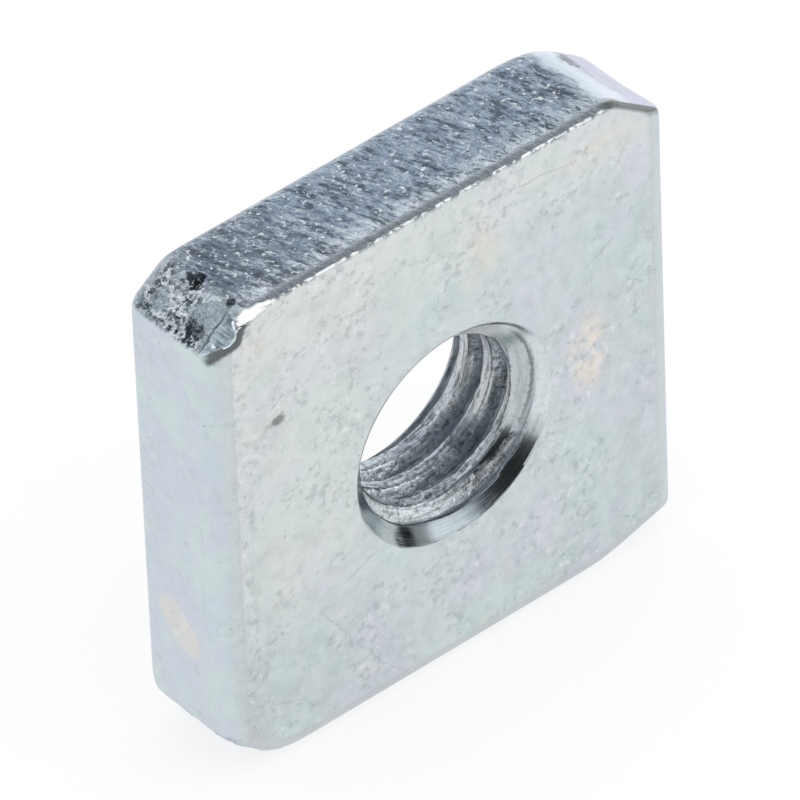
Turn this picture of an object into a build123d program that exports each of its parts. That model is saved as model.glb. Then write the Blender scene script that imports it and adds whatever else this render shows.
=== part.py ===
from build123d import *
from math import radians, tan
import os

# A one-piece steel nut for the slot of an aluminium profile: a short length of flat bar
# with rolled long edges, sheared to length with its corners cropped, and tapped.
# Millimetres. X runs across the bar, Y through its thickness and Z along the bar. The nut
# stands on one sheared end, with its front face towards -Y. The origin is the middle of
# the lower end.

# Flat bar
width = 13.0
height = 13.0
thickness = 2.95
rolled_edge_radius = 0.58

# Corners cropped with the ends: how far each cut reaches along the end and down the side
top_left_reach = 1.1
top_left_drop = 0.8
top_right_reach = 1.6
top_right_drop = 1.15
bottom_left_reach = 1.4
bottom_left_drop = 1.2
bottom_right_reach = 2.15
bottom_right_drop = 0.6
corner_blend_radius = 0.95

# Sheared edges: the blade draws the edge where it enters over into a radius, and leaves the
# opposite edge sharp, with a narrow burnished strip beside it
drawn_edge_radius = 0.5
burnished_length = 0.25
burnished_drop = 0.05

# Tapped hole, M5 x 0.8, a little off the middle of the nut. The drilled bore is the crest of
# the thread, and being at the wide end of its tolerance it leaves the thread a little shallow
hole_offset = 0.15
hole_drop = 0.15
hole_height = height / 2 - hole_drop
thread_diameter = 5.0
thread_pitch = 0.8
thread_depth = 0.35
flank_angle = 60.0
bore_diameter = thread_diameter - 2 * thread_depth

# Countersinks, by how much wider than the thread each one is at its mouth
front_countersink_margin = 0.55
back_countersink_margin = 0.05
front_countersink_diameter = thread_diameter + front_countersink_margin
back_countersink_diameter = thread_diameter + back_countersink_margin
countersink_angle = 90.0

# The groove has a flat root, an eighth of the pitch wide, between two sloping flanks. Its
# cutting profile reaches a little past the crest, into what the bore takes away, and its
# helix starts and ends one turn outside the two faces
root_width = thread_pitch / 8
cutter_overlap = 0.1
cutter_depth = thread_depth + cutter_overlap
cutter_mouth = root_width + 2 * cutter_depth * tan(radians(flank_angle / 2))
groove_length = thickness + 2 * thread_pitch

os.makedirs("parts", exist_ok=True)


def sheared_half(left_reach, left_drop, right_reach, right_drop):
    """One half of the nut, standing on its sheared end, as a blade from the front leaves it."""
    with BuildPart() as half:
        with BuildSketch(Plane.XZ):
            with BuildLine():
                Polyline(
                    (-width / 2, height / 2),
                    (-width / 2, left_drop),
                    (left_reach - width / 2, 0),
                    (width / 2 - right_reach, 0),
                    (width / 2, right_drop),
                    (width / 2, height / 2),
                    close=True,
                )
            make_face()
            fillet(vertices().sort_by(Axis.Y)[:4], corner_blend_radius)
        extrude(amount=thickness / 2, both=True)

        # The top of each loop of edges is where the two halves meet, and stays as it is
        entry_face = faces().sort_by(Axis.Y)[0]
        fillet(entry_face.edges().sort_by(Axis.Z)[:-1], drawn_edge_radius)
        exit_face = faces().sort_by(Axis.Y)[-1]
        exit_edges = exit_face.edges().sort_by(Axis.Z)[:-1]
        chamfer(exit_edges, burnished_drop, burnished_length, reference=exit_face)
    return half.part


with BuildPart() as square_nut:
    # The lower end was sheared from the front and the upper end from the back
    add(sheared_half(bottom_left_reach, bottom_left_drop, bottom_right_reach, bottom_right_drop))
    with Locations((0, 0, height)):
        add(
            sheared_half(top_left_reach, top_left_drop, top_right_reach, top_right_drop),
            rotation=(180, 0, 0),
        )

    # The bar's section with its rolled long edges
    with BuildSketch(Plane.XY):
        RectangleRounded(width, thickness, rolled_edge_radius)
    extrude(amount=height, mode=Mode.INTERSECT)

    # The thread: a right-hand helical groove, which the bore below opens along its crest
    with BuildLine():
        groove_path = Helix(
            pitch=thread_pitch,
            height=groove_length,
            radius=thread_diameter / 2,
            center=(hole_offset, -groove_length / 2, hole_height),
            direction=(0, 1, 0),
        )
    with BuildSketch(Plane(origin=groove_path @ 0, x_dir=(0, 0, 1), z_dir=(1, 0, 0))):
        with BuildLine():
            Polyline(
                (0, -root_width / 2),
                (0, root_width / 2),
                (-cutter_depth, cutter_mouth / 2),
                (-cutter_depth, -cutter_mouth / 2),
                close=True,
            )
        make_face()
    sweep(path=groove_path, is_frenet=True, mode=Mode.SUBTRACT)

    # The bore, countersunk from both faces
    for side, mouth_diameter in ((-1, front_countersink_diameter), (1, back_countersink_diameter)):
        mouth = (hole_offset, side * thickness / 2, hole_height)
        with Locations(Plane(origin=mouth, z_dir=(0, side, 0))):
            CounterSinkHole(
                bore_diameter / 2,
                mouth_diameter / 2,
                counter_sink_angle=countersink_angle,
            )

square_nut.part.label = "square_nut"
export_step(square_nut.part, "parts/square_nut.step")
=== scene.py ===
import math

import bpy
from mathutils import Matrix, Vector


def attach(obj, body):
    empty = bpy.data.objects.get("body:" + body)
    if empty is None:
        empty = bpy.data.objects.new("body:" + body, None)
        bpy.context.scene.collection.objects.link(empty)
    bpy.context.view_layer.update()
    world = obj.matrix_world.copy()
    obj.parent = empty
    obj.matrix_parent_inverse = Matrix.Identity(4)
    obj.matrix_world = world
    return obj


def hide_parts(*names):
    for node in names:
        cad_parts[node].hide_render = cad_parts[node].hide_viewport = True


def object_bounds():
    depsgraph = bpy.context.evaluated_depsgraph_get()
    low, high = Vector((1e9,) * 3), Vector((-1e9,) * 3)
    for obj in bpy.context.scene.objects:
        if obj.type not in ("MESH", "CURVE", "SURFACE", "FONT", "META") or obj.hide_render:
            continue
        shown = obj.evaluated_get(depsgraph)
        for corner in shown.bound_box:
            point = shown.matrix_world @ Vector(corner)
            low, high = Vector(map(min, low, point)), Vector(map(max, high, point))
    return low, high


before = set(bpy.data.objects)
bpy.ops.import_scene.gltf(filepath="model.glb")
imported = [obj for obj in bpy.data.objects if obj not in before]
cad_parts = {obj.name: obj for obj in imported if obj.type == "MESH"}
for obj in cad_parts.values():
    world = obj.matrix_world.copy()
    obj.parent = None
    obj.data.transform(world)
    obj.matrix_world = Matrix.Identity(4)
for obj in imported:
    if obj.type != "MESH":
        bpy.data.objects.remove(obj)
cad_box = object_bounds()

MM = 0.001
NODE = "square_nut"
SLOT = "zinc_plated_steel"


# ---- Node trees written as expressions ----

class Term:
    """A number in a node tree. Python's operators on it add Math nodes."""

    def __init__(self, nodes, socket):
        self.nodes = nodes
        self.socket = socket

    def out(self, name):
        """Another output of the node that this number comes from."""
        return Term(self.nodes, self.socket.node.outputs[name])

    def __add__(self, other):
        return self.nodes.math("ADD", self, other)

    def __radd__(self, other):
        return self.nodes.math("ADD", other, self)

    def __sub__(self, other):
        return self.nodes.math("SUBTRACT", self, other)

    def __rsub__(self, other):
        return self.nodes.math("SUBTRACT", other, self)

    def __mul__(self, other):
        return self.nodes.math("MULTIPLY", self, other)

    def __rmul__(self, other):
        return self.nodes.math("MULTIPLY", other, self)

    def __truediv__(self, other):
        return self.nodes.math("DIVIDE", self, other)

    def __neg__(self):
        return self.nodes.math("MULTIPLY", self, -1.0)


class Nodes:
    """Adds nodes to one tree, shader or geometry."""

    def __init__(self, tree):
        self.tree = tree

    def node(self, kind, settings=None, values=None, output=0):
        """Adds a node: its settings first, then a value or a link for each named socket."""
        made = self.tree.nodes.new(kind)
        for name, setting in (settings or {}).items():
            if name == "stops":
                self.set_stops(made.color_ramp, setting)
            else:
                setattr(made, name, setting)
        for key, value in (values or {}).items():
            if isinstance(value, Term):
                self.tree.links.new(value.socket, made.inputs[key])
            else:
                made.inputs[key].default_value = value
        return Term(self, made.outputs[output]) if made.outputs else None

    @staticmethod
    def set_stops(ramp, stops):
        while len(ramp.elements) < len(stops):
            ramp.elements.new(1.0)
        for element, (place, colour) in zip(ramp.elements, stops):
            element.position = place
            element.color = (*colour, 1.0)

    def math(self, operation, *values):
        return self.node("ShaderNodeMath", {"operation": operation}, dict(enumerate(values)))

    def sine(self, angle):
        return self.math("SINE", angle)

    def cosine(self, angle):
        return self.math("COSINE", angle)

    def least(self, a, b):
        return self.math("MINIMUM", a, b)

    def most(self, a, b):
        return self.math("MAXIMUM", a, b)

    def root(self, value):
        return self.math("SQRT", value)

    def absolute(self, value):
        return self.math("ABSOLUTE", value)

    def clip(self, value, low=0.0, high=1.0):
        return self.node("ShaderNodeClamp", None, {"Value": value, "Min": low, "Max": high})

    def step(self, value, low, high):
        """0 where the value is at low, 1 where it is at high, and smooth between."""
        return self.node(
            "ShaderNodeMapRange",
            {"interpolation_type": "SMOOTHSTEP"},
            {"Value": value, "From Min": low, "From Max": high},
        )

    def mix(self, a, b, share):
        return a + (b - a) * share

    def vector(self, x, y, z):
        return self.node("ShaderNodeCombineXYZ", None, {0: x, 1: y, 2: z})

    def parts(self, vector):
        x = self.node("ShaderNodeSeparateXYZ", None, {0: vector})
        return x, x.out("Y"), x.out("Z")

    def vector_math(self, operation, a, b, output=0):
        return self.node("ShaderNodeVectorMath", {"operation": operation}, {0: a, 1: b}, output)

    def scaled(self, vector, factors):
        return self.vector_math("MULTIPLY", vector, factors)

    def noise(self, place, scale, detail=2.0, roughness=0.5, distortion=0.0):
        return self.node(
            "ShaderNodeTexNoise",
            None,
            {
                "Vector": place,
                "Scale": scale,
                "Detail": detail,
                "Roughness": roughness,
                "Distortion": distortion,
            },
        )

    def blend(self, a, b, share):
        """Mixes two colours."""
        return self.node(
            "ShaderNodeMix",
            {"data_type": "RGBA"},
            {"Factor": share, 6: a, 7: b},
            2,
        )


def cleared(owner):
    """The node tree of a new material or world, without its first nodes."""
    owner.use_nodes = True
    owner.node_tree.nodes.clear()
    return owner.node_tree


# ---- Sizes of the nut, in millimetres ----

width = (cad_box[1][0] - cad_box[0][0]) / MM
thickness = (cad_box[1][1] - cad_box[0][1]) / MM
height = (cad_box[1][2] - cad_box[0][2]) / MM

SIZES = {
    "Width": width,
    "Height": height,
    "Thickness": thickness,
    "Rolled edge radius": 0.58,
    "Drawn edge radius": 0.5,
    "Burnished length": 0.25,
    "Burnished drop": 0.05,
    "Corner blend": 0.3,
    "Soft corner blend": 0.75,
    "Hole offset": 0.15,
    "Hole height": height / 2 - 0.15,
    "Bore radius": 2.15,
    "Thread radius": 2.5,
    "Thread pitch": 0.8,
    "Root width": 0.1,
    "Front countersink radius": 2.775,
    "Back countersink radius": 2.525,
    "Top left reach": 1.1,
    "Top left drop": 0.8,
    "Top right reach": 1.6,
    "Top right drop": 1.15,
    "Bottom left reach": 1.4,
    "Bottom left drop": 1.2,
    "Bottom right reach": 2.15,
    "Bottom right drop": 0.6,
    "Grain depth": 0.05,
    "Seed": 7.0,
}

# Wear: how broad the folded burr is at least, and how much broader at its beads and at its
# wedge, and how deep the other marks lie
BURR_WIDTH = 0.02
BEAD_WIDTH = 0.032
WEDGE_WIDTH = 0.16
CRUMB_DEPTH = 0.03
CRUMB_DEPTH_AT_FOOT = 0.08
CRUMB_DEPTH_IN_MIDDLE = 0.06
FLAP_DEPTH = 0.10
GAP_DEPTH = 0.07
DENT_DEPTH = 0.05
TEAR_DEPTH = 0.005
TEAR_DEPTH_BELOW = 0.035

# Columns and rows of the sheet that the nut is made from
COLUMNS = 512
END_COLUMN_SHARE = 0.34
FRONT_ROWS = 40
ARC_ROWS = 10
SIDE_ROWS = 24
RIM_ROWS = 2 * ARC_ROWS + SIDE_ROWS
BACK_ROWS = 14
FLANK_ROWS = 6
ROWS_PER_PITCH = 3 * FLANK_ROWS + 2
LOWEST_THREAD_ROW = -7
HIGHEST_THREAD_ROW = 91
THREAD_ROWS = HIGHEST_THREAD_ROW - LOWEST_THREAD_ROW
ROWS = FRONT_ROWS + RIM_ROWS + BACK_ROWS + THREAD_ROWS

FULL_TURN = 2 * math.pi
SMALLEST = 0.01  # what a ray that never meets an edge is divided by


def outline_reach(n, size, ray_x, ray_z, depth):
    """How far a ray from the hole's axis goes before it leaves the nut, at a depth."""
    front = depth
    back = size["Thickness"] - depth

    def rounded(radius, distance):
        """Inset of a quarter round at a distance from the face it runs into."""
        short = n.clip(radius - distance, 0.0, 100.0)
        return radius - n.root(n.most(radius * radius - short * short, 0.0))

    def burnished(distance):
        return size["Burnished drop"] * n.clip(1.0 - distance / size["Burnished length"])

    # A burr is folded along the top front edge, broad at its left end and broken elsewhere
    along_top = ray_x / n.most(ray_z, 0.2) * (size["Height"] - size["Hole height"])
    waver = n.noise(n.vector(along_top, 0.0, size["Seed"]), 4.5, 4.0, 0.75)
    burr = n.step(waver, 0.40, 0.54) * BEAD_WIDTH + BURR_WIDTH
    wedge = n.step(along_top, -4.7, -5.6) * n.step(along_top, -6.0, -5.85)
    burr = burr + wedge * WEDGE_WIDTH
    rolled = rounded(size["Rolled edge radius"], n.least(front, back))
    inset = {
        1: n.most(
            n.most(burnished(front), burr - front), rounded(size["Drawn edge radius"], back)
        ),
        -1: n.most(burnished(back), rounded(size["Drawn edge radius"], front)),
    }
    # The bottom left corner is soft all through, the top right one towards the back
    soft = n.most(n.step(-ray_z, 0.0, 0.2), n.step(depth, 0.2, 1.4))
    soft = n.step(ray_x * ray_z, 0.0, 0.2) * soft
    blend = n.mix(size["Corner blend"], size["Soft corner blend"], soft)
    half = size["Width"] / 2.0
    end_z = {1: size["Height"] - size["Hole height"], -1: size["Hole height"]}
    nearest_side = None
    nearest_end = None
    for side in (1, -1):
        reach = half - size["Hole offset"] * side - rolled
        reach = reach / n.most(ray_x * side, SMALLEST)
        nearest_side = reach if nearest_side is None else n.least(nearest_side, reach)
    for end, end_name in ((1, "Top"), (-1, "Bottom")):
        reach = (end_z[end] - inset[end]) / n.most(ray_z * end, SMALLEST)
        nearest_end = reach if nearest_end is None else n.least(nearest_end, reach)
        for side, side_name in ((1, "right"), (-1, "left")):
            run = size[f"{end_name} {side_name} reach"]
            drop = size[f"{end_name} {side_name} drop"]
            length = n.root(run * run + drop * drop)
            out_x = drop / length * side
            out_z = run / length * end
            corner_x = half * side - size["Hole offset"]
            corner_z = (end_z[end] - drop) * end
            distance = out_x * corner_x + out_z * corner_z - inset[end]
            reach = distance / n.most(out_x * ray_x + out_z * ray_z, SMALLEST)
            nearest_end = n.math("SMOOTH_MIN", nearest_end, reach, blend)
    outline = n.math("SMOOTH_MIN", nearest_side, nearest_end, blend)
    return outline, nearest_side - nearest_end, burr


def on_front(centre, radii, depth):
    """A centre and radii in space of an oval on the front face, from those in (x, z)."""
    return (centre[0], -thickness / 2, centre[1]), (radii[0], depth, radii[1])


# Pits of the torn corner: centre, radii and depth. Dent of the front face: centre and radii
CORNER_PITS = (
    ((-5.43, 0.24, 12.98), (0.30, 0.20, 0.3), 0.16),
    ((-6.2, -0.56, 12.41), (0.24, 0.24, 0.24), 0.18),
    ((-5.37, -0.92, 12.98), (0.12, 0.12, 0.2), 0.08),
)
DENT = on_front((-4.7, 9.6), (0.24, 0.15), 0.5)


def corner_place(n, size, x, z):
    """Millimetres along the top left cut from its lower edge, and below its plane."""
    run, drop = size["Top left reach"], size["Top left drop"]
    length = n.root(run * run + drop * drop)
    from_side = x + size["Width"] / 2.0
    from_foot = z - size["Height"] + drop
    along = (from_side * run + from_foot * drop) / length
    below = (from_side * drop - from_foot * run) / length
    return along, below


def tongue_reach(n, along):
    """How far below the cut the smeared tongue hangs over the front face."""
    return n.step(n.absolute(along - 0.7), 0.42, 0.0) * 0.19 + 0.06


def near(n, value, centre, width):
    """1 at the centre and 0 beyond the width."""
    return n.step(n.absolute(value - centre), width, 0.0)


def smooth_cut(n, x, z):
    """1 on the cut at the top right, which the shear left smooth."""
    return n.step(x, 4.5, 4.9) * n.step(z, 11.5, 11.8)


def oval(n, place, centre, radii):
    """Distance from a centre, as a share of the radii: 1 on the oval."""
    apart = n.vector_math("SUBTRACT", place, centre)
    shares = n.vector_math("DIVIDE", apart, radii)
    return n.vector_math("LENGTH", shares, (0.0, 0.0, 0.0), "Value")


def worn_depth(n, size):
    """How deep the worn surface lies under the true one: grain, crumbs, pits and tears."""
    place = n.node("GeometryNodeInputPosition")
    x, y, z = n.parts(place)

    def stored(name):
        return n.node(
            "GeometryNodeInputNamedAttribute", {"data_type": "FLOAT"}, {"Name": name}
        )

    # Grain runs through the thickness, a little aslant
    sheared = stored("sheared")
    broken = sheared * (1.0 - stored("burnished"))
    drift = x + y * 0.3
    grain = n.noise(n.vector(drift * 4.5, y * 1.5, z * 4.5), 1.0, 3.0, 0.6)
    grain = n.step(grain, 0.3, 0.7)
    depth = broken * grain * size["Grain depth"] * (1.0 - smooth_cut(n, x, z) * 0.9)

    # The torn top left corner: crumbs, three pits and a tongue smeared over the front
    corner = n.step(-x, 5.2, 5.5) * n.step(z, 11.9, 12.1) * sheared
    flap = n.step(y, -0.95, -1.05)
    along, below = corner_place(n, size, x, z)
    crumbs = n.noise(n.scaled(place, (4.5, 4.5, 4.5)), 1.0, 3.0, 0.6)
    crumbling = n.step(along, 0.5, 0.15) * CRUMB_DEPTH_AT_FOOT
    crumbling = crumbling + near(n, y, 0.1, 0.5) * CRUMB_DEPTH_IN_MIDDLE + CRUMB_DEPTH
    depth = depth + corner * (1.0 - flap) * n.step(crumbs, 0.35, 0.65) * crumbling
    for centre, radii, deep in CORNER_PITS:
        pit = oval(n, place, centre, radii) + (crumbs - 0.5) * 2.5
        depth = depth + n.step(pit, 1.2, 0.3) * deep
    depth = depth + corner * n.step(y, -1.05, -1.5) * FLAP_DEPTH
    hanging = below - tongue_reach(n, along)
    gap = n.step(hanging, -0.02, 0.03) * n.step(hanging, 0.26, 0.16)
    gap = gap * n.step(along, -0.1, 0.05) * n.step(along, 1.45, 1.25) * n.step(y, -1.1, -1.25)
    depth = depth + gap * (1.0 - sheared) * GAP_DEPTH

    # A dent in the front face
    depth = depth + n.step(oval(n, place, *DENT), 1.2, 0.2) * DENT_DEPTH

    # The thread is torn where the tap dragged, below and to the right
    hole_x = x - size["Hole offset"]
    hole_z = z - size["Hole height"]
    lower = n.step((hole_x * 0.45 - hole_z * 0.9) / 2.3, 0.2, 0.75)
    tears = n.noise(n.vector(hole_x * 1.8, y * 6.0, hole_z * 1.8), 1.0, 2.0, 0.55)
    tapped = stored("thread") * (1.0 - stored("countersink"))
    tear_depth = lower * TEAR_DEPTH_BELOW + TEAR_DEPTH
    return depth + tapped * n.step(tears, 0.48, 0.72) * tear_depth


def nut_tree(material):
    """The nut as one closed sheet of columns around the hole and rows from the front mouth
    over the front, the rim and the back, and home through the thread."""
    tree = bpy.data.node_groups.new("sheared square nut", "GeometryNodeTree")
    tree.is_modifier = True
    tree.interface.new_socket("Nut", in_out="OUTPUT", socket_type="NodeSocketGeometry")
    identifiers = {}
    for name in SIZES:
        socket = tree.interface.new_socket(name, in_out="INPUT", socket_type="NodeSocketFloat")
        identifiers[name] = socket.identifier
    n = Nodes(tree)
    given = tree.nodes.new("NodeGroupInput")
    size = {name: Term(n, given.outputs[name]) for name in SIZES}

    grid = n.node(
        "GeometryNodeMeshGrid",
        None,
        {"Size X": 1.0, "Size Y": 1.0, "Vertices X": COLUMNS + 1, "Vertices Y": ROWS + 1},
    )
    flat_x, flat_y, _ = n.parts(n.node("GeometryNodeInputPosition"))
    around = flat_x + 0.5
    row = n.math("ROUND", (flat_y + 0.5) * float(ROWS))

    # Rays: more columns run to the two sheared ends than to the two rolled sides
    def swing(turn, share):
        wave = n.math("PINGPONG", turn, 0.5) * 4.0 - 1.0
        return n.clip(wave * (-0.5 / share), -1.0, 1.0)

    to_x = swing(around, END_COLUMN_SHARE) * size["Width"] * 0.5
    to_z = swing(around + 0.75, 0.5 - END_COLUMN_SHARE) * size["Height"] * 0.4
    length = n.root(to_x * to_x + to_z * to_z)
    ray_x = to_x / length
    ray_z = to_z / length

    # Rows: shares along each stretch
    front = n.clip(row / float(FRONT_ROWS))
    rim_row = row - float(FRONT_ROWS)
    back = n.clip((rim_row - float(RIM_ROWS)) / float(BACK_ROWS))
    first_arc = n.clip(rim_row / float(ARC_ROWS))
    straight = n.clip((rim_row - float(ARC_ROWS)) / float(SIDE_ROWS))
    last_arc = n.clip((rim_row - float(ARC_ROWS + SIDE_ROWS)) / float(ARC_ROWS))
    quarter = FULL_TURN / 4
    radius = size["Rolled edge radius"]
    rim_depth = radius * (1.0 - n.cosine(first_arc * quarter))
    rim_depth = rim_depth + (size["Thickness"] - 2.0 * radius) * straight
    rim_depth = rim_depth + radius * n.sine(last_arc * quarter)

    # Thread rows follow the helix, so that its root, flanks and crest keep their edges
    thread_row = row - float(FRONT_ROWS + RIM_ROWS + BACK_ROWS)
    in_thread = n.math("GREATER_THAN", thread_row, 0.5)
    along = (float(HIGHEST_THREAD_ROW) - thread_row) / float(ROWS_PER_PITCH)
    whole = n.math("FLOOR", along + 0.001)
    part = n.math("ROUND", (along - whole) * float(ROWS_PER_PITCH))
    rise, crest, fall = (
        n.clip((part - (1.0 + FLANK_ROWS * stretch)) / float(FLANK_ROWS)) for stretch in range(3)
    )
    pitch = size["Thread pitch"]
    root_half = size["Root width"] / 2.0 / pitch
    flank = (size["Thread radius"] - size["Bore radius"]) * math.tan(math.radians(30)) / pitch
    crest_width = 1.0 - 2.0 * (root_half + flank)
    place = root_half * (n.clip(part) + n.clip(part - (ROWS_PER_PITCH - 1.0)))
    place = place + flank * (rise + fall) + crest_width * crest
    helix = (whole + place - around + 0.25) * pitch
    depth = n.mix(rim_depth, n.clip(helix, 0.0, size["Thickness"]), in_thread)
    crest_share = rise - fall
    thread = size["Thread radius"] - (size["Thread radius"] - size["Bore radius"]) * crest_share
    front_cone = size["Front countersink radius"] - depth
    back_cone = size["Back countersink radius"] - (size["Thickness"] - depth)
    cone = n.most(front_cone, back_cone)
    hole = n.most(n.mix(size["Bore radius"], thread, in_thread), cone)

    # Where a row lies between the hole and the outline
    def eased(share):
        return share - 0.08 * n.sine(share * FULL_TURN)

    outwards = eased(front) - eased(back)
    outline, end_lead, burr = outline_reach(n, size, ray_x, ray_z, depth)
    angle = around * FULL_TURN
    x = n.mix(hole * n.cosine(angle), ray_x * outline, outwards) + size["Hole offset"]
    z = n.mix(hole * n.sine(angle), ray_z * outline, outwards) + size["Hole height"]
    y = depth - size["Thickness"] / 2.0

    on_rim = n.step(outwards, 0.985, 1.0)
    at_top = n.step(ray_z, -0.1, 0.1)
    from_back = size["Thickness"] - depth
    from_drawn = n.mix(depth, from_back, at_top)
    from_burnished = n.mix(from_back, depth, at_top)
    sheared = n.step(end_lead, -0.02, 0.12) * on_rim * n.step(from_drawn, 0.1, 0.35)
    burnished = sheared * n.step(from_burnished, 0.29, 0.21)

    # Masks are stored while the sheet is still flat, because rows and columns are read from it
    marked = grid
    for name, value in (
        ("sheared", sheared),
        ("burnished", burnished),
        ("rim", on_rim),
        ("burr", n.step(burr - depth, -0.01, 0.01) * n.step(outwards, 0.99, 1.0) * at_top),
        ("thread", in_thread),
        ("crest", crest_share * in_thread),
        ("countersink", n.step(cone - thread, -0.02, 0.03) * in_thread),
    ):
        marked = n.node(
            "GeometryNodeStoreNamedAttribute",
            {"data_type": "FLOAT", "domain": "POINT"},
            {"Geometry": marked, "Name": name, "Value": value},
        )
    shaped = n.node(
        "GeometryNodeSetPosition", None, {"Geometry": marked, "Position": n.vector(x, y, z)}
    )
    joined = n.node("GeometryNodeMergeByDistance", None, {"Geometry": shaped, "Distance": 0.002})
    outward = n.node("GeometryNodeFlipFaces", None, {"Mesh": joined})
    cut_in = n.node(
        "ShaderNodeVectorMath",
        {"operation": "SCALE"},
        {"Vector": n.node("GeometryNodeInputNormal"), "Scale": -worn_depth(n, size)},
    )
    worn = n.node("GeometryNodeSetPosition", None, {"Geometry": outward, "Offset": cut_in})
    metres = n.node(
        "GeometryNodeSetPosition",
        None,
        {
            "Geometry": worn,
            "Position": n.scaled(n.node("GeometryNodeInputPosition"), (MM, MM, MM)),
        },
    )
    smooth = n.node("GeometryNodeSetShadeSmooth", None, {"Geometry": metres, "Shade Smooth": True})
    real = n.node("GeometryNodeRealizeInstances", None, {"Geometry": smooth})
    done = n.node("GeometryNodeSetMaterial", None, {"Geometry": real, "Material": material})
    n.node("NodeGroupOutput", None, {0: done})
    return tree, identifiers


# ---- Zinc plate: tints, marks and the material itself ----

FACE_GREY = (0.650, 0.710, 0.725, 1.0)
FACE_GREEN = (0.635, 0.735, 0.725, 1.0)
FACE_LILAC = (0.665, 0.685, 0.775, 1.0)
FACE_CREAM = (0.830, 0.775, 0.690, 1.0)
FACE_SMOKE = (0.430, 0.470, 0.475, 1.0)
FACE_PALE = (0.800, 0.820, 0.805, 1.0)
FACE_WHITE = (0.900, 0.900, 0.890, 1.0)
SIDE_LILAC = (0.645, 0.660, 0.740, 1.0)
SIDE_MINT = (0.660, 0.740, 0.730, 1.0)
SIDE_BLUE = (0.620, 0.690, 0.750, 1.0)
SHEAR_SLATE = (0.530, 0.640, 0.790, 1.0)
SHEAR_VIOLET = (0.810, 0.920, 1.000, 1.0)
SHEAR_PALE = (0.840, 0.940, 1.000, 1.0)
SHEAR_DARK = (0.160, 0.190, 0.220, 1.0)
FROST_BLUE = (0.840, 0.900, 1.000, 1.0)
GLINT = (0.900, 0.960, 1.000, 1.0)
TORN_GREY = (0.840, 0.950, 1.000, 1.0)
FLAP_BLUE = (0.620, 0.720, 0.760, 1.0)
FLAP_LINE = (0.330, 0.390, 0.420, 1.0)
PIT_BLACK = (0.060, 0.070, 0.070, 1.0)
GAP_GREY = (0.110, 0.125, 0.125, 1.0)
EDGE_GREY = (0.580, 0.600, 0.630, 1.0)
CUT_WHITE = (0.800, 0.880, 0.950, 1.0)
CUT_LILAC = (0.610, 0.630, 0.770, 1.0)
CONE_GREY = (0.520, 0.580, 0.590, 1.0)
CONE_PALE = (0.660, 0.725, 0.735, 1.0)
CONE_DIM = (0.370, 0.410, 0.425, 1.0)
BURNISHED_GREY = (0.560, 0.600, 0.600, 1.0)
DIRT = (0.120, 0.130, 0.130, 1.0)
BURR_WHITE = (0.930, 0.930, 0.900, 1.0)
STAIN_CREAM = (0.735, 0.732, 0.695, 1.0)
THREAD_GREY = (0.360, 0.405, 0.445, 1.0)
THREAD_BLUE = (0.360, 0.435, 0.530, 1.0)
THREAD_PALE = (0.620, 0.670, 0.690, 1.0)
CREST_PALE = (0.720, 0.750, 0.760, 1.0)
THREAD_DARK = (0.150, 0.185, 0.225, 1.0)
THREAD_LINE = (0.170, 0.190, 0.190, 1.0)

# Marks on the front face, in (x, z): centre, radii and strength of the cream patches, and
# start, end and half width of the scratches
CREAM_PATCHES = (
    ((1.0, 11.0), (0.8, 1.2), 0.6),
    ((4.0, 6.5), (0.6, 1.2), 1.2),
    ((4.6, 12.0), (1.3, 0.5), 0.6),
    ((-5.0, 12.0), (1.0, 0.6), 0.4),
    ((-4.6, 8.5), (0.5, 0.8), 0.35),
)
SCRATCHES = (
    ((-3.8, 3.6), (-2.4, 1.5), 0.030),
    ((-2.4, 1.5), (-1.5, 0.4), 0.030),
    ((-3.4, 3.9), (-2.1, 4.4), 0.045),
    ((4.0, 8.9), (4.8, 9.3), 0.050),
    ((5.1, 8.0), (5.6, 7.6), 0.040),
    ((-4.9, 1.7), (-4.2, 1.2), 0.035),
    ((4.6, 1.3), (5.2, 1.1), 0.040),
    ((2.7, 4.4), (3.1, 3.2), 0.030),
    ((2.2, 12.2), (3.6, 12.0), 0.035),
    ((-4.9, 10.0), (-4.6, 10.2), 0.060),
)
# Strokes of painted highlight on the torn corner, in (x, y)
SMEARS = (
    ((-5.50, 1.10), (-5.84, 0.50), 0.07),
    ((-5.95, 0.32), (-5.58, 0.02), 0.11),
    ((-6.02, 1.12), (-6.16, 0.98), 0.10),
    ((-5.62, -0.30), (-5.45, -0.62), 0.06),
    ((-5.40, 0.66), (-5.32, 0.40), 0.07),
)
STAIN = ((0.28, 4.08), (-0.20, 3.56), 0.60)  # on the left side, in (y, z)
HAIR_DIRECTIONS = ((0.5, 3.0), (2.2, 37.0))  # angle in radians, and a shift of the noise

# Relief that is too fine for the mesh, in millimetres
RELIEF = {
    "peel": 0.003,
    "wave": 0.02,
    "scratch": 0.004,
    "speck": 0.003,
    "streak": 0.10,
    "grit": 0.05,
    "glint": 0.04,
    "hollow": 0.05,
    "smooth cut": 0.004,
    "middle of the grain": 0.07,
    "crumbs": 0.12,
    "corner": 0.03,
    "rays": 0.02,
    "crease": 0.03,
    "hammered": 0.024,
    "thread lines": 0.008,
    "turning lines": 0.003,
}

# Roughness of the rolled faces and its mottle, how much smoother the other surfaces are, and
# the roughness of the burr
ROUGHNESS = {
    "rolled": 0.36,
    "mottle": 0.10,
    "sheared": 0.16,
    "thread": 0.12,
    "countersink": 0.24,
    "burr": 0.6,
}


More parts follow.
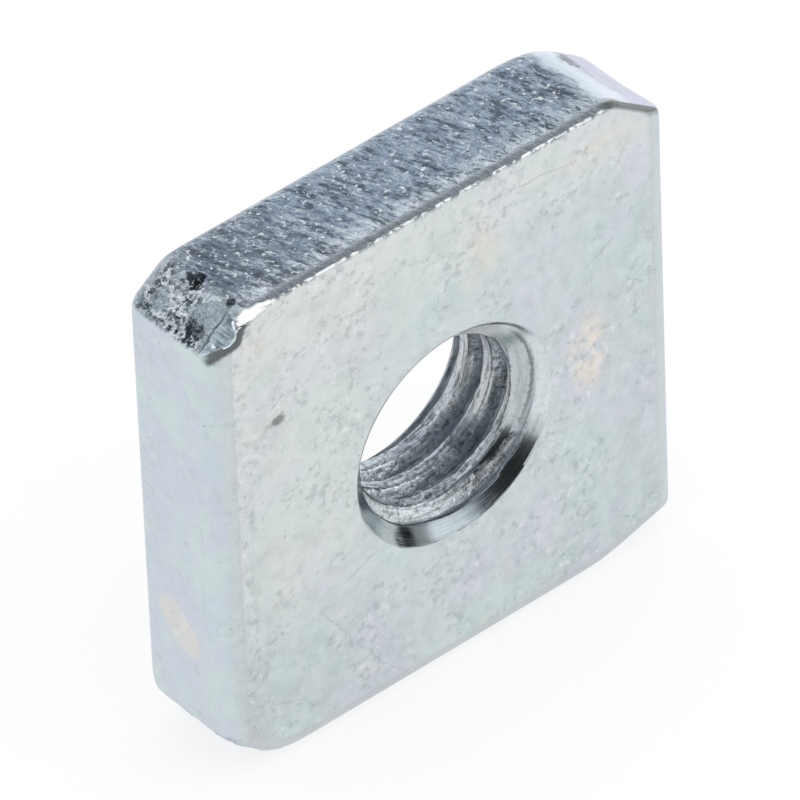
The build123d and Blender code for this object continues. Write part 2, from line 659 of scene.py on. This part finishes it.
class ZincPlate:
    """Zinc plate with a clear chromate: mottled on the rolled faces, grainy where sheared.
    Each method paints one region over the colour so far, and keeps the masks that the
    heights and the painted highlights need."""

    def __init__(self, tree):
        n = self.n = Nodes(tree)
        per_metre = 1.0 / MM
        coordinates = n.node("ShaderNodeTexCoord", output="Object")
        self.place = n.scaled(coordinates, (per_metre, per_metre, per_metre))
        x, y, z = self.x, self.y, self.z = n.parts(self.place)
        self.sheared = self.stored("sheared")
        burnished = self.stored("burnished") * n.step(x, -5.5, -5.1)
        self.burnished = burnished * n.most(n.step(x, 5.3, 5.0), n.step(y, -1.30, -1.37))
        self.hole = self.stored("thread")
        self.cone = self.stored("countersink")
        self.burr = self.stored("burr") * n.step(z, 12.4, 12.7) * n.step(x, 4.8, 4.5)
        self.side = self.stored("rim") * (1.0 - self.sheared)
        self.flat = (1.0 - self.sheared) * (1.0 - self.hole)
        self.front = n.step(y, -1.40, -1.46)
        self.top = n.step(z, 6.0, 7.0)
        self.waver = self.cloud(1.3, 3.0, 0.6, 13.0)
        self.ragged_x = x + (self.waver - 0.5) * 0.8
        self.smooth_cut = smooth_cut(n, self.ragged_x, z)
        self.coarse = 1.0 - self.smooth_cut
        self.corner = n.step(-x, 5.25, 5.5) * n.step(z, 11.9, 12.1) * self.sheared

    def stored(self, name):
        return self.n.node("ShaderNodeAttribute", {"attribute_name": name}, output="Fac")

    def cloud(self, scale, detail=2.0, roughness=0.5, shift=0.0):
        """Noise of the place on the nut. The shift keeps two clouds apart."""
        moved = self.n.vector_math("ADD", self.place, (shift, shift * 0.7, -shift))
        return self.n.noise(moved, scale, detail, roughness)

    def stroke(self, across, up, start, end, breadth):
        """A wavering line between two points of a plane."""
        n = self.n
        run_across, run_up = end[0] - start[0], end[1] - start[1]
        off_across = across - start[0] + (self.waver - 0.5) * 0.35
        off_up = up - start[1] + (self.waver - 0.5) * 0.35
        share = (off_across * run_across + off_up * run_up) / (run_across ** 2 + run_up ** 2)
        share = n.clip(share)
        off_across = off_across - share * run_across
        off_up = off_up - share * run_up
        apart = n.root(off_across * off_across + off_up * off_up)
        return n.step(apart, breadth, breadth * 0.3)

    def rolled_faces(self):
        """Soft mottling in faint chromate tints, with painted light and shade across the front
        face.
        """
        n, x, y, z, front, side = self.n, self.x, self.y, self.z, self.front, self.side
        cloud = self.cloud
        ragged = n.step(cloud(1.6, 4.0, 0.7, 5.0), 0.35, 0.6)
        colour = n.blend(FACE_GREY, FACE_GREEN, n.step(cloud(0.45, 3.0, 0.6), 0.42, 0.62))
        lilac = n.step(cloud(0.5, 3.0, 0.6, 11.0), 0.50, 0.66)
        colour = n.blend(colour, FACE_LILAC, lilac * 0.8)
        # Painted light: the front face paler towards the top
        colour = n.blend(colour, FACE_PALE, n.step(z, 9.5, 12.8) * 0.55 * front)
        cream = n.step(cloud(0.4, 4.0, 0.65, 23.0), 0.56, 0.72)
        colour = n.blend(colour, FACE_CREAM, cream * 0.5)
        # Painted light and shade: the front face paler at the lower left, darker at the right and
        # towards the bottom
        pale_left = n.step(x, 0.5, -3.5) * n.step(z, 2.5, 5.5)
        colour = n.blend(colour, FACE_PALE, pale_left * 0.45 * front)
        dim_right = n.step(x, 2.0, 5.5) * n.step(z, 11.5, 8.5)
        colour = n.blend(colour, FACE_SMOKE, dim_right * 0.10 * front)
        smoke = n.step(cloud(1.2, 4.0, 0.65, 55.0), 0.50, 0.62)
        colour = n.blend(colour, FACE_SMOKE, smoke * 0.14)
        dim_below = n.step(x, -1.0, 3.0) * n.step(z, 4.0, 1.5)
        colour = n.blend(colour, FACE_SMOKE, dim_below * 0.12 * front)
        patches = 0.0
        for centre, radii, strength in CREAM_PATCHES:
            patch = oval(n, self.place, *on_front(centre, radii, 9.0))
            patches = patches + n.step(patch, 1.3, 0.2) * strength
        colour = n.blend(colour, FACE_CREAM, n.clip(patches * ragged * front))

        patchy = n.noise(n.scaled(self.place, (0.8, 0.8, 0.3)), 1.0, 3.0, 0.6)
        side_colour = n.blend(SIDE_BLUE, SIDE_LILAC, n.step(patchy, 0.42, 0.58) * 0.6)
        flank = n.step(n.absolute(x), 6.10, 6.30)
        roll = n.step(n.absolute(x), 5.85, 6.05) * (1.0 - flank) * (1.0 - self.sheared)
        colour = n.blend(colour, EDGE_GREY, side * (1.0 - flank) * 0.7)
        colour = n.blend(colour, SIDE_MINT, roll * 0.6)
        colour = n.blend(colour, side_colour, side * flank * 0.9)
        green = n.step(cloud(0.7, 3.0, 0.6, 63.0), 0.47, 0.6)
        colour = n.blend(colour, FACE_GREEN, side * flank * green)
        stain = n.step(self.stroke(y, z, *STAIN), 0.0, 0.75)
        stain = stain * n.step(-x, 6.2, 6.4) * (ragged * 0.25 + 0.65)
        return n.blend(colour, STAIN_CREAM, stain)

    def fine_wear(self, colour):
        """A pickled mottle, specks in drifts, spots of painted sheen, hairline scratches and one
        dent.
        """
        n, x, z, flat, cloud = self.n, self.x, self.z, self.flat, self.cloud
        mottle = cloud(3.0, 5.0, 0.7, 41.0)
        face = flat * (1.0 - self.side * 0.6)
        colour = n.blend(colour, FACE_SMOKE, n.step(mottle, 0.46, 0.70) * face * 0.25)
        colour = n.blend(colour, FACE_PALE, n.step(mottle, 0.50, 0.34) * face * 0.30)
        specks = n.step(cloud(8.0, 3.0, 0.7, 3.0), 0.64, 0.74)
        region = cloud(0.9, 4.0, 0.7, 71.0)
        drifts = n.step(region, 0.42, 0.62)
        left_edge = oval(n, self.place, *on_front((-5.85, 6.5), (0.35, 20.0), 0.9))
        left_edge = n.step(left_edge, 1.2, 0.3)
        self.specks = specks * n.clip(drifts + left_edge)
        colour = n.blend(colour, DIRT, self.specks * flat * 0.6)
        clusters = n.step(region, 0.47, 0.57) + left_edge
        marks = cloud(4.5, 4.0, 0.7, 83.0)
        self.smudges = n.step(marks, 0.51, 0.62) * n.clip(clusters)
        colour = n.blend(colour, FACE_SMOKE, self.smudges * face * 0.55)
        # Painted sheen: white spots among the smudges
        glossy_spots = n.step(marks, 0.42, 0.35) * n.clip(clusters)
        colour = n.blend(colour, FACE_WHITE, glossy_spots * face * 0.5)
        scratches = 0.0
        for start, end, breadth in SCRATCHES:
            scratches = scratches + self.stroke(x, z, start, end, breadth) * self.front
        hairs = 0.0
        for aim, shift in HAIR_DIRECTIONS:
            run = x * math.cos(aim) + z * math.sin(aim)
            across = z * math.cos(aim) - x * math.sin(aim)
            drawn_out = n.vector(run * 0.7 + shift, across * 11.0, self.y)
            hairs = hairs + n.step(n.noise(drawn_out, 1.0, 2.0, 0.6, 0.4), 0.66, 0.74)
        broken = n.step(cloud(2.5, 3.0, 0.6, 17.0), 0.40, 0.56) * 0.75 + 0.25
        self.scratches = n.clip((scratches + n.clip(hairs) * 0.3) * broken)
        colour = n.blend(colour, FACE_SMOKE, self.scratches * flat * 0.45)
        dent = n.step(oval(n, self.place, *DENT), 1.1, 0.5)
        return n.blend(colour, DIRT, dent * 0.65)

    def sheared_ends(self, colour):
        """Slate grain with glints, pale and streaky beside the dark burnished band, and painted
        shade towards the left of the top.
        """
        n, x, y, z, coarse = self.n, self.x, self.y, self.z, self.coarse
        drift = x + y * 0.3
        streak = n.noise(n.vector(drift * 5.5, y * 1.6, z * 5.5), 1.0, 4.0, 0.65, 0.5)
        streak = self.streak = n.step(streak, 0.36, 0.64)
        grit = n.noise(n.vector(drift * 11.0, y * 5.0, z * 11.0), 1.0, 3.0, 0.7)
        grit = self.grit = n.step(grit, 0.36, 0.64)
        glint = n.noise(n.vector(drift * 8.0, y * 7.0, z * 8.0 + 40.0), 1.0, 2.0, 0.6)
        glint = self.glint = n.step(glint, 0.60, 0.65)
        near_entry = n.mix(n.step(y, 0.55, 1.15), n.step(y, -0.55, -1.15), self.top)
        shear_colour = n.blend(SHEAR_SLATE, SHEAR_VIOLET, near_entry)

        # The cut at the top right is smooth and pale, with a dark gash at its edge
        cut_colour = n.blend(CUT_WHITE, CUT_LILAC, n.step(self.ragged_x, 5.35, 5.6))
        cut_edge = near(n, self.ragged_x, 5.5, 0.25) * n.step(y, -0.2, 0.6)
        gash = near(n, self.ragged_x, 5.52, 0.16) * near(n, y, 0.70, 0.45)
        cut_edge = n.clip(cut_edge * n.step(grit, 0.70, 0.40) + gash)
        cut_colour = n.blend(cut_colour, SHEAR_DARK, cut_edge)
        shear_colour = n.blend(shear_colour, cut_colour, self.smooth_cut * 0.9)

        dark = n.step(streak * 0.55 + grit * 0.45, 0.5, 0.08) * coarse
        shear_colour = n.blend(shear_colour, SHEAR_DARK, dark * 0.9)
        # Painted shade: the top darker towards its left
        dim_left = n.step(x, -2.0, -4.5) * self.top * 0.45
        shear_colour = n.blend(shear_colour, SHEAR_DARK, dim_left)
        pale = n.step(streak * 0.45 + grit * 0.55, 0.55, 0.9) * coarse
        shear_colour = n.blend(shear_colour, SHEAR_PALE, pale * 0.9)
        # Painted highlights: pale blue streaks near the entry, then white glints over the grain
        frost = n.step(streak * 0.6 + grit * 0.4, 0.45, 0.75) * near_entry * coarse
        self.frost = frost * (1.0 - self.burnished)
        shear_colour = n.blend(shear_colour, FROST_BLUE, self.frost * 0.8)
        shear_colour = n.blend(shear_colour, GLINT, glint * coarse)
        shear_colour = n.blend(shear_colour, BURNISHED_GREY, self.burnished * 0.9)
        cut_line = n.step(y, -1.24, -1.30) * n.step(x, 4.5, 4.8) * self.top
        shear_colour = n.blend(shear_colour, DIRT, cut_line * 0.9)
        return n.blend(colour, shear_colour, self.sheared)

    def torn_corner(self, colour):
        """Crumbs, pits, and a pale tongue with a dark crease above and a dark gap below: painted
        shade in the pits, crevices, crease and gap, and painted highlights on the crumbs and the
        lip.
        """
        n, x, y, z, corner = self.n, self.x, self.y, self.z, self.corner
        along, below = corner_place(n, SIZES, x, z)
        ragged_y = y + (self.waver - 0.5) * 0.5
        crumb_zone = near(n, ragged_y, 0.1, 0.45) + n.step(along, 0.4, 0.1) * n.step(y, 0.95, 0.6)
        crumb_zone = crumb_zone + near(n, along, 0.9, 0.25) * near(n, y, 0.7, 0.35)
        crumb_zone = n.clip(crumb_zone) * corner * n.step(y, -0.95, -0.8)
        crumb = self.cloud(9.0, 3.0, 0.6, 61.0)
        colour = n.blend(colour, TORN_GREY, corner * 0.7)
        # Painted shade in the crevices between crumbs
        shaded = n.step(crumb, 0.46, 0.37) * (crumb_zone * 0.55 + corner * 0.15)
        colour = n.blend(colour, PIT_BLACK, shaded)
        smears = 0.0
        # Painted highlights on the crumbs and in strokes across the corner
        for start, end, breadth in SMEARS:
            smears = smears + self.stroke(x, y, start, end, breadth)
        smears = smears * corner * n.step(crumb, 0.42, 0.50)
        # Painted shade along the crumbling back edge
        fringe = near(n, y, 0.95, 0.28) * corner * n.step(crumb, 0.54, 0.46)
        colour = n.blend(colour, PIT_BLACK, fringe * 0.8)
        white_crumbs = n.step(crumb, 0.50, 0.55) * (crumb_zone * 1.6 + corner * 0.2)
        self.white_crumbs = n.clip(white_crumbs + smears)
        colour = n.blend(colour, GLINT, self.white_crumbs)
        self.crumb_zone = crumb_zone
        self.crumb_tops = n.step(crumb, 0.35, 0.50)
        broad_crumb = self.cloud(4.5, 3.0, 0.6)
        # Painted shade in the three pits
        for centre, radii, _ in CORNER_PITS:
            pit = oval(n, self.place, centre, radii)
            pit = pit + (broad_crumb - 0.5) * 3.0 + (crumb - 0.5) * 2.5
            colour = n.blend(colour, PIT_BLACK, n.step(pit, 1.25, 0.7) * 0.85)

        hanging = below - tongue_reach(n, along)
        at_front = n.step(y, -1.1, -1.25) * n.step(along, -0.1, 0.05) * n.step(along, 1.45, 1.3)
        fold = n.step(y, -0.98, -1.06)
        flap = n.clip(corner * fold + at_front * n.step(below, -0.05, 0.0))
        self.flap = flap * n.step(hanging, 0.0, -0.02)
        rays = self.rays = n.noise(n.vector(along * 7.0, y * 0.7, below * 0.7), 1.0, 1.0, 0.5)
        flap_colour = n.blend(FLAP_BLUE, FLAP_LINE, n.step(rays, 0.42, 0.3))
        colour = n.blend(colour, flap_colour, self.flap)
        # Painted shade in the crease above the tongue
        crease = near(n, y + (rays - 0.5) * 0.1, -1.02, 0.06)
        self.crease = crease * corner * n.step(along, 1.2, 1.0)
        colour = n.blend(colour, PIT_BLACK, self.crease * 0.7)
        # Painted highlight along the tongue's lip
        lip = n.step(hanging, -0.06, -0.03) * n.step(hanging, 0.01, -0.01) * at_front
        self.lip = lip * n.step(crumb, 0.44, 0.50)
        colour = n.blend(colour, GLINT, self.lip * 0.9)
        # Painted shade in the gap below the tongue
        gap = n.step(hanging, -0.01, 0.02) * n.step(hanging, 0.27, 0.20) * at_front
        return n.blend(colour, GAP_GREY, gap * (1.0 - self.sheared) * 0.9)

    def burr_line(self, colour):
        """Painted highlights on the beads along the burr, grey between them, and painted shade
        under them.
        """
        n, x, y, z = self.n, self.x, self.y, self.z
        bead_noise = n.noise(n.vector(x * 5.0, y * 5.0, z * 5.0), 1.0, 3.0, 0.7)
        wedge = n.step(x, -4.6, -4.8) * n.step(x, -5.8, -5.6)
        self.beads = n.clip(n.step(bead_noise, 0.46, 0.54) + wedge) * self.burr
        colour = n.blend(colour, FACE_SMOKE, self.burr * (1.0 - self.beads) * 0.8)
        # Painted highlight on the beads
        colour = n.blend(colour, BURR_WHITE, self.beads)
        # Painted shade under the burr
        under_burr = near(n, z, 12.89, 0.05) * self.front * n.step(n.absolute(x), 5.2, 4.8)
        return n.blend(colour, FACE_SMOKE, under_burr * n.step(bead_noise, 0.54, 0.46) * 0.8)

    def hole_walls(self, colour):
        """Bright crests, blue grey flanks, and turning marks round the countersink, with painted
        highlights and painted shade on both.
        """
        n, y, place, cone = self.n, self.y, self.place, self.cone
        hole_x = self.x - SIZES["Hole offset"]
        hole_z = self.z - SIZES["Hole height"]
        radius = n.root(hole_x * hole_x + hole_z * hole_z)
        turn = n.math("ARCTAN2", hole_z, hole_x) / FULL_TURN
        helix = y + turn * SIZES["Thread pitch"]
        ring = n.vector(hole_x / radius * 1.5, hole_z / radius * 1.5, helix * 13.0)
        lines = self.lines = n.noise(ring, 1.0, 5.0, 0.75)
        threaded = self.threaded = self.hole * (1.0 - cone)
        hammered = self.hammered = n.noise(n.scaled(place, (9.0, 9.0, 9.0)), 1.0, 3.0, 0.65)
        rise = hole_z / radius

        # The thread
        crest = self.stored("crest")
        wall = n.blend(THREAD_GREY, THREAD_BLUE, n.step(hole_z, -0.8, 0.6))
        # Painted light: the lower thread paler
        pale_side = n.step(hole_z, -1.2, -1.9) * n.step(hole_x, 1.3, 0.7)
        wall = n.blend(wall, THREAD_PALE, pale_side)
        wall = n.blend(wall, CREST_PALE, crest * 0.7)
        # Painted highlights on the lower crests and on one patch
        worn_crest = crest * n.step(hole_z, -1.1, -1.9) * n.step(hammered, 0.44, 0.54)
        wall = n.blend(wall, GLINT, worn_crest)
        polished = n.step(oval(n, place, (0.85, 0.19, 4.30), (0.50, 0.30, 0.30)), 1.3, 0.6)
        wall = n.blend(wall, GLINT, polished * n.step(hammered, 0.44, 0.54))
        tarnish = n.step(oval(n, place, (1.58, -0.03, 4.65), (0.55, 0.45, 0.42)), 1.3, 0.5)
        wall = n.blend(wall, THREAD_DARK, tarnish * 0.75)

        # The countersink
        # Painted highlight: a pale sector low on the countersink
        cone_colour = n.blend(CONE_GREY, CONE_PALE, near(n, turn, -0.21, 0.04))
        # Painted shade at the countersink's foot, and a dark line beside it
        dim_foot = n.step(rise, -0.5, -0.9) * n.step(hole_x, 0.45, 0.1)
        cone_colour = n.blend(cone_colour, CONE_DIM, dim_foot)
        cone_colour = n.blend(cone_colour, THREAD_LINE, near(n, turn, -0.31, 0.03) * 0.6)
        runout = n.step(helix, -1.20, -1.26) * n.step(rise, -0.45, -0.3)
        runout = runout * n.step(hole_x, 0.0, 0.6)
        cone_colour = n.blend(cone_colour, CONE_PALE, runout)
        wall = n.blend(wall, cone_colour, cone)

        # Lines and flecks on both
        dark_lines = n.step(lines, 0.52, 0.38) * (0.7 - cone * 0.4) * (1.0 - runout * 0.8)
        wall = n.blend(wall, THREAD_LINE, dark_lines)
        wall = n.blend(wall, CREST_PALE, n.step(lines, 0.54, 0.64) * threaded * 0.6)
        wall = n.blend(wall, THREAD_LINE, n.step(hammered, 0.46, 0.36) * (0.6 - cone * 0.4))
        ring_line = near(n, helix + (hammered - 0.5) * 0.1, -1.17, 0.06)
        ring_line = ring_line * n.step(rise, -0.6, -0.4)
        ring_line = ring_line * cone * n.step(hole_x, 0.3, 1.2)
        wall = n.blend(wall, THREAD_LINE, ring_line * 0.9)
        cone_rim = cone * n.step(y, -1.36, -1.41) * n.step(rise, 0.5, 0.7)
        wall = n.blend(wall, THREAD_LINE, cone_rim * 0.8)
        # Painted highlight: the top of the countersink pale and diffuse
        self.shaded_cone = cone * n.step(rise, 0.55, 0.8) * (1.0 - cone_rim)
        wall = n.blend(wall, FACE_PALE, self.shaded_cone)
        # Painted shade on the first turn of the thread
        first_turn = near(n, turn, -0.13, 0.06) * near(n, helix, -1.14, 0.2)
        wall = n.blend(wall, THREAD_LINE, first_turn * 0.4)
        # Painted dark reflection low on the countersink, over its turning lines
        tool_mark = n.step(oval(n, place, (-1.29, -1.35, 4.14), (0.35, 0.3, 0.3)), 1.2, 0.6)
        wall = n.blend(wall, PIT_BLACK, tool_mark * n.step(lines, 0.35, 0.55))
        return n.blend(colour, wall, self.hole)

    def chalk(self):
        """Painted highlights: white flecks on the glints, the streaks near the entry, the crumbs,
        the beads, the lip and the top of the countersink scatter light where the rest reflects it.
        """
        past_corner = self.sheared * (1.0 - self.corner)
        chalk = self.glint * self.coarse * past_corner * (1.0 - self.burnished)
        chalk = chalk + self.frost * past_corner * 0.8 + self.white_crumbs
        chalk = chalk + self.beads * 0.8 + self.lip * 0.7 + self.shaded_cone * 0.8
        return self.n.clip(chalk)

    def height(self):
        """Fine relief, in millimetres."""
        n, y, flat, half = self.n, self.y, self.flat, thickness / 2
        peel = self.cloud(5.0, 3.0, 0.6, 2.0) * RELIEF["peel"]
        peel = peel + self.cloud(0.8, 2.0, 0.5, 9.0) * RELIEF["wave"]
        height = peel * flat - self.scratches * flat * RELIEF["scratch"]
        height = height - (self.specks + self.smudges * 0.6) * flat * RELIEF["speck"]
        from_entry = n.mix(half - y, y + half, self.top)
        hollow = n.step(from_entry, 0.25, 0.9) * n.step(from_entry, 2.7, 1.2)
        grain = self.streak * RELIEF["streak"] + self.grit * RELIEF["grit"]
        grain = grain + self.glint * RELIEF["glint"] - hollow * RELIEF["hollow"]
        grain = grain * self.coarse + self.streak * self.smooth_cut * RELIEF["smooth cut"]
        rough = (1.0 - self.burnished * 0.95) * (1.0 - self.flap) * (1.0 - self.burr)
        height = height + (grain - RELIEF["middle of the grain"]) * self.sheared * rough
        crumbs = self.crumb_zone * RELIEF["crumbs"] + self.corner * RELIEF["corner"]
        height = height + self.crumb_tops * crumbs * rough
        height = height + (self.rays - 0.5) * self.flap * RELIEF["rays"]
        height = height - self.crease * RELIEF["crease"]
        height = height + self.hammered * self.threaded * RELIEF["hammered"]
        lines = self.threaded * RELIEF["thread lines"] + self.cone * RELIEF["turning lines"]
        return height + self.lines * lines

    def roughness(self):
        """Mottled on the rolled faces, smoother in the cuts, and dull on the burr."""
        roughness = ROUGHNESS["rolled"] + self.cloud(2.0, 4.0, 0.7, 7.0) * ROUGHNESS["mottle"]
        roughness = roughness - self.sheared * ROUGHNESS["sheared"]
        roughness = roughness - self.threaded * ROUGHNESS["thread"]
        roughness = roughness - self.cone * ROUGHNESS["countersink"]
        return self.n.mix(roughness, ROUGHNESS["burr"], self.burr)


def zinc():
    """The zinc plated steel, as one material."""
    material = bpy.data.materials.new(SLOT)
    plate = ZincPlate(cleared(material))
    colour = plate.rolled_faces()
    colour = plate.fine_wear(colour)
    colour = plate.sheared_ends(colour)
    colour = plate.torn_corner(colour)
    colour = plate.burr_line(colour)
    colour = plate.hole_walls(colour)
    n = plate.n
    bump = n.node(
        "ShaderNodeBump", None, {"Strength": 1.0, "Distance": MM, "Height": plate.height()}
    )
    shader = n.node(
        "ShaderNodeBsdfPrincipled",
        None,
        {
            "Metallic": 1.0 - plate.chalk(),
            "Base Color": colour,
            "Roughness": plate.roughness(),
            "Normal": bump,
        },
    )
    n.node("ShaderNodeOutputMaterial", None, {"Surface": shader})
    return material


def make_nut(material):
    tree, identifiers = nut_tree(material)
    holder = bpy.data.objects.new("nut_holder", bpy.data.meshes.new("nut_holder"))
    bpy.context.scene.collection.objects.link(holder)
    modifier = holder.modifiers.new("nut", "NODES")
    modifier.node_group = tree
    for name, value in SIZES.items():
        modifier[identifiers[name]] = value
    evaluated = holder.evaluated_get(bpy.context.evaluated_depsgraph_get())
    mesh = bpy.data.meshes.new_from_object(evaluated)
    holder.modifiers.remove(modifier)
    bpy.data.objects.remove(holder)
    mesh.name = "nut"
    nut = bpy.data.objects.new("zinc_plated_nut", mesh)
    bpy.context.scene.collection.objects.link(nut)
    return nut


# ---- The nut ----

nut = make_nut(zinc())
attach(nut, "root")
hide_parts(NODE)

# ---- Floor, lights and camera ----

FLOOR_WIDTH = 4.0
FLOOR_PAINT = (0.93, 0.93, 0.93, 1.0)
FLOOR_WHITE_SHARE = 0.8
CARD_BLACK = (0.02, 0.02, 0.02, 1.0)
CARD_STEPS = 12


def seen_directly(n):
    """1 for the rays that show the floor or the world itself: camera, glossy, transmission."""
    path = n.node("ShaderNodeLightPath", output="Is Camera Ray")
    return n.most(n.most(path, path.out("Is Glossy Ray")), path.out("Is Transmission Ray"))


def add_floor():
    """A pale floor. It shows white, and a fifth of it is paint that takes the shadow."""
    material = bpy.data.materials.new("white_floor")
    n = Nodes(cleared(material))
    paint = n.node("ShaderNodeBsdfDiffuse", None, {"Color": FLOOR_PAINT})
    white = n.node("ShaderNodeEmission", None, {"Color": (1.0, 1.0, 1.0, 1.0), "Strength": 1.0})
    share = seen_directly(n) * FLOOR_WHITE_SHARE
    mixed = n.node("ShaderNodeMixShader", None, {0: share, 1: paint, 2: white})
    n.node("ShaderNodeOutputMaterial", None, {"Surface": mixed})
    mesh = bpy.data.meshes.new("floor")
    half = FLOOR_WIDTH / 2
    corners = [(-half, -half, 0), (half, -half, 0), (half, half, 0), (-half, half, 0)]
    mesh.from_pydata(corners, [], [(0, 1, 2, 3)])
    mesh.materials.append(material)
    floor = bpy.data.objects.new("floor", mesh)
    bpy.context.scene.collection.objects.link(floor)


def add_world():
    """Pale at the horizon and dark overhead."""
    world = bpy.data.worlds.new("studio")
    n = Nodes(cleared(world))
    _, _, upward = n.parts(n.node("ShaderNodeTexCoord"))
    ramp = n.node(
        "ShaderNodeValToRGB",
        {
            "stops": (
                (0.0, (0.90, 0.91, 0.92)),
                (0.30, (0.84, 0.86, 0.89)),
                (0.64, (0.60, 0.64, 0.70)),
                (0.85, (0.20, 0.21, 0.24)),
            )
        },
        {0: upward},
    )
    background = n.node("ShaderNodeBackground", None, {0: ramp})
    n.node("ShaderNodeOutputWorld", None, {0: background})
    bpy.context.scene.world = world


def add_lamp(name, direction, strength, spread, in_reflections=True):
    """A far lamp in a direction, with a spread in degrees."""
    lamp = bpy.data.lights.new(name, "SUN")
    lamp.energy = strength
    lamp.angle = math.radians(spread)
    lamp_object = bpy.data.objects.new(name, lamp)
    lamp_object.rotation_euler = Vector(direction).to_track_quat("Z", "Y").to_euler()
    lamp_object.visible_glossy = in_reflections
    bpy.context.scene.collection.objects.link(lamp_object)


def add_dark_card(name, azimuths, elevations, distance=1.3):
    """A black card, far off, between two azimuths and two elevations, for the metal to reflect."""
    material = bpy.data.materials.get("black_card")
    if material is None:
        material = bpy.data.materials.new("black_card")
        material.use_nodes = True
        shader = material.node_tree.nodes["Principled BSDF"]
        shader.inputs["Base Color"].default_value = CARD_BLACK
        shader.inputs["Roughness"].default_value = 1.0
    corners = []
    for i in range(CARD_STEPS + 1):
        azimuth = math.radians(azimuths[0] + (azimuths[1] - azimuths[0]) * i / CARD_STEPS)
        for elevation in elevations:
            reach = distance * math.tan(math.radians(elevation))
            corners.append((distance * math.sin(azimuth), -distance * math.cos(azimuth), reach))
    faces = [(2 * i, 2 * i + 2, 2 * i + 3, 2 * i + 1) for i in range(CARD_STEPS)]
    mesh = bpy.data.meshes.new(name)
    mesh.from_pydata(corners, [], faces)
    mesh.materials.append(material)
    card = bpy.data.objects.new(name, mesh)
    card.visible_diffuse = False
    bpy.context.scene.collection.objects.link(card)


add_floor()
add_world()
add_lamp("softbox", (0.567, -0.630, 0.53), 0.22, 31)
add_lamp("overhead", (0.1, -0.2, 1.0), 2.2, 110, in_reflections=False)
add_dark_card("camera_side_card", (-45, 12), (3, 41))
add_dark_card("right_card", (64, 88), (3, 14))


# The camera: azimuth, elevation and roll in degrees, distance and shifts in widths of the
# nut, and focal length for the default sensor in millimetres
CAMERA_ANGLES = (-39.06, 40.65, -2.36)
CAMERA_DISTANCE = 22.23
CAMERA_SHIFT_RIGHT = 0.0826
CAMERA_SHIFT_UP = -0.0549
FOCAL_LENGTH = 600.61


def add_camera():
    """A long lens from the front left and above."""
    azimuth, elevation, roll = (math.radians(angle) for angle in CAMERA_ANGLES)
    span = width * MM
    distance = CAMERA_DISTANCE * span
    across, upwards = CAMERA_SHIFT_RIGHT * span, CAMERA_SHIFT_UP * span
    back = Vector((
        math.sin(azimuth) * math.cos(elevation),
        -math.cos(azimuth) * math.cos(elevation),
        math.sin(elevation),
    ))
    level = Vector((math.cos(azimuth), math.sin(azimuth), 0))
    plumb = back.cross(level)
    right = math.cos(roll) * level + math.sin(roll) * plumb
    up = -math.sin(roll) * level + math.cos(roll) * plumb
    aim = Vector((0, -thickness / 2 * MM, height / 2 * MM))
    place = aim + back * distance - right * across - up * upwards
    data = bpy.data.cameras.new("camera")
    data.sensor_width = 36.0
    data.lens = FOCAL_LENGTH
    data.clip_start = 0.01
    data.clip_end = 20.0
    camera = bpy.data.objects.new("camera", data)
    bpy.context.scene.collection.objects.link(camera)
    turn = Matrix((right, up, back)).transposed().to_4x4()
    camera.matrix_world = Matrix.Translation(place) @ turn
    bpy.context.scene.camera = camera


add_camera()
bpy.context.scene.view_settings.view_transform = "Standard"
